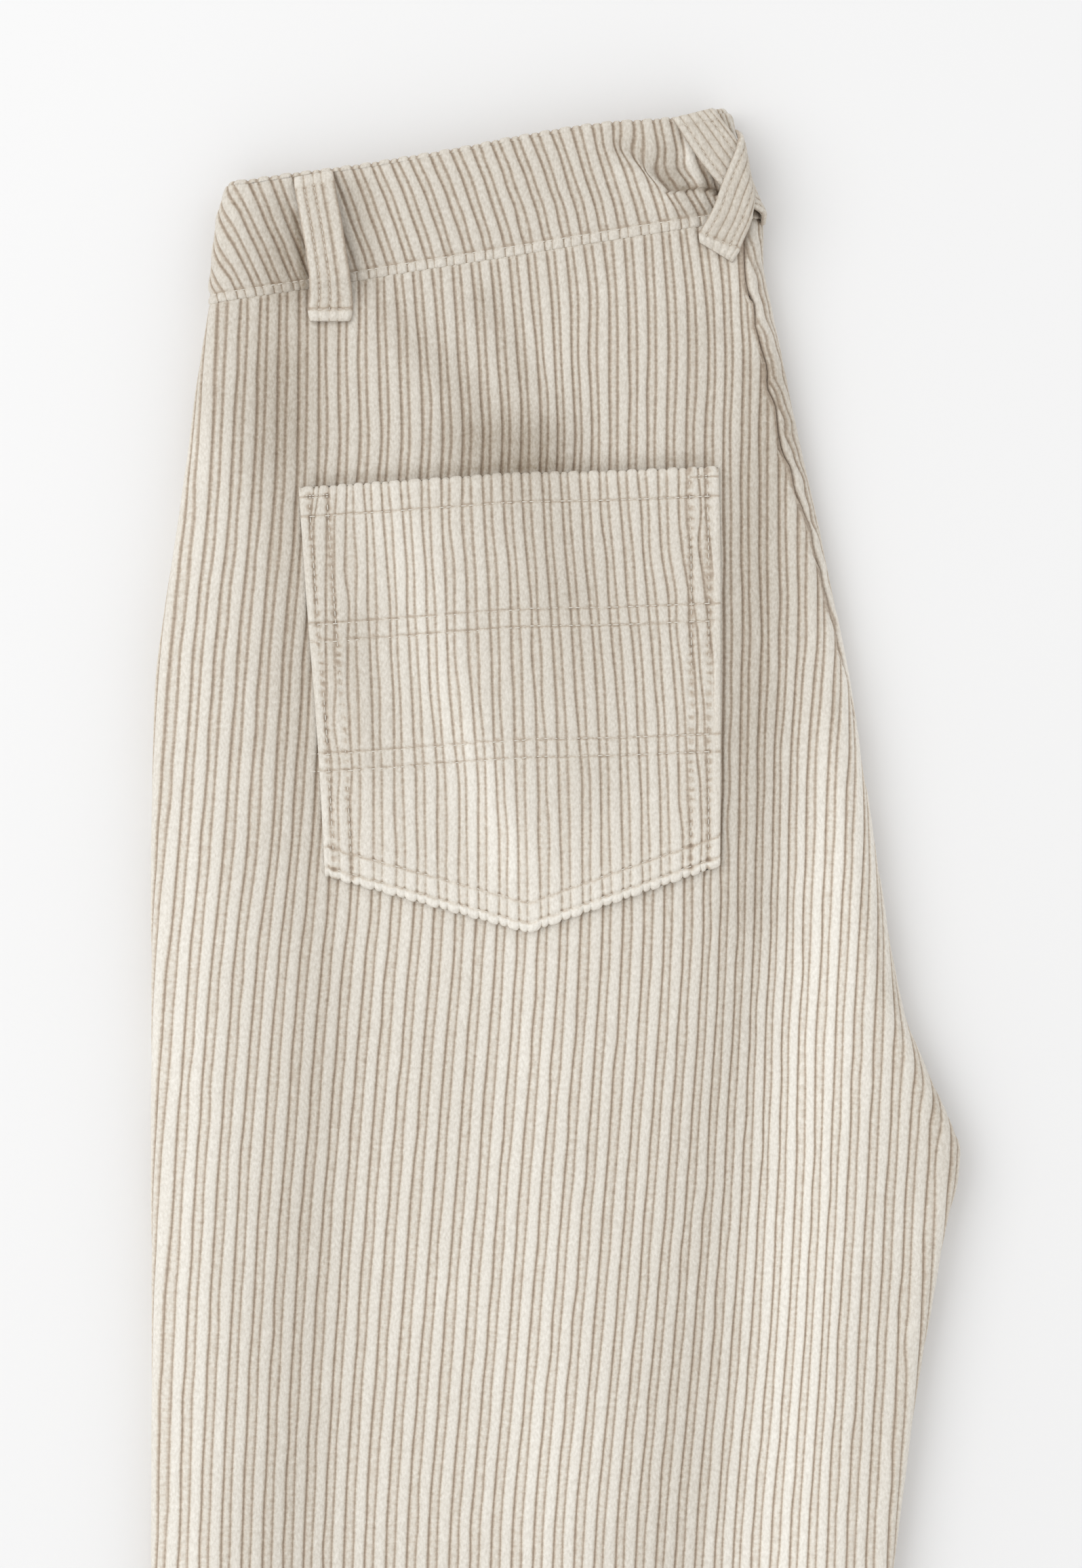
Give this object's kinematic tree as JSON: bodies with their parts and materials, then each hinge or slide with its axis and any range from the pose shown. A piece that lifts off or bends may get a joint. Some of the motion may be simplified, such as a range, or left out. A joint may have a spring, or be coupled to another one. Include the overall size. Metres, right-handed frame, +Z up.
{
  "type": "folded corduroy trousers",
  "caption": "Wide-leg corduroy trousers folded in half lengthwise and laid flat, back uppermost, with a patch pocket, waistband and belt loops.",
  "frame": {"origin": "centre of the bounding box at its bottom, on the surface that the folded trousers lie on", "axes": "+Y along the leg from the hem to the waist, +X across from the outseam to the seat and inseam, +Z up from the surface, with the back of the leg uppermost"},
  "size_m": [0.2993, 1.0792, 0.0273],
  "materials": {
    "corduroy": "cotton corduroy, one wide and one narrow wale in turn",
    "corduroy_under": "the same corduroy in the folded layers underneath"
  },
  "bodies": {
    "root": {"back_leg_upper": "corduroy", "back_leg_under": "corduroy", "waistband": "corduroy", "back_pocket": "corduroy", "belt_loop_side": "corduroy", "belt_loop_cross_under": "corduroy", "belt_loop_cross_over": "corduroy", "folded_layers": "corduroy_under"}
  },
  "joints": []
}
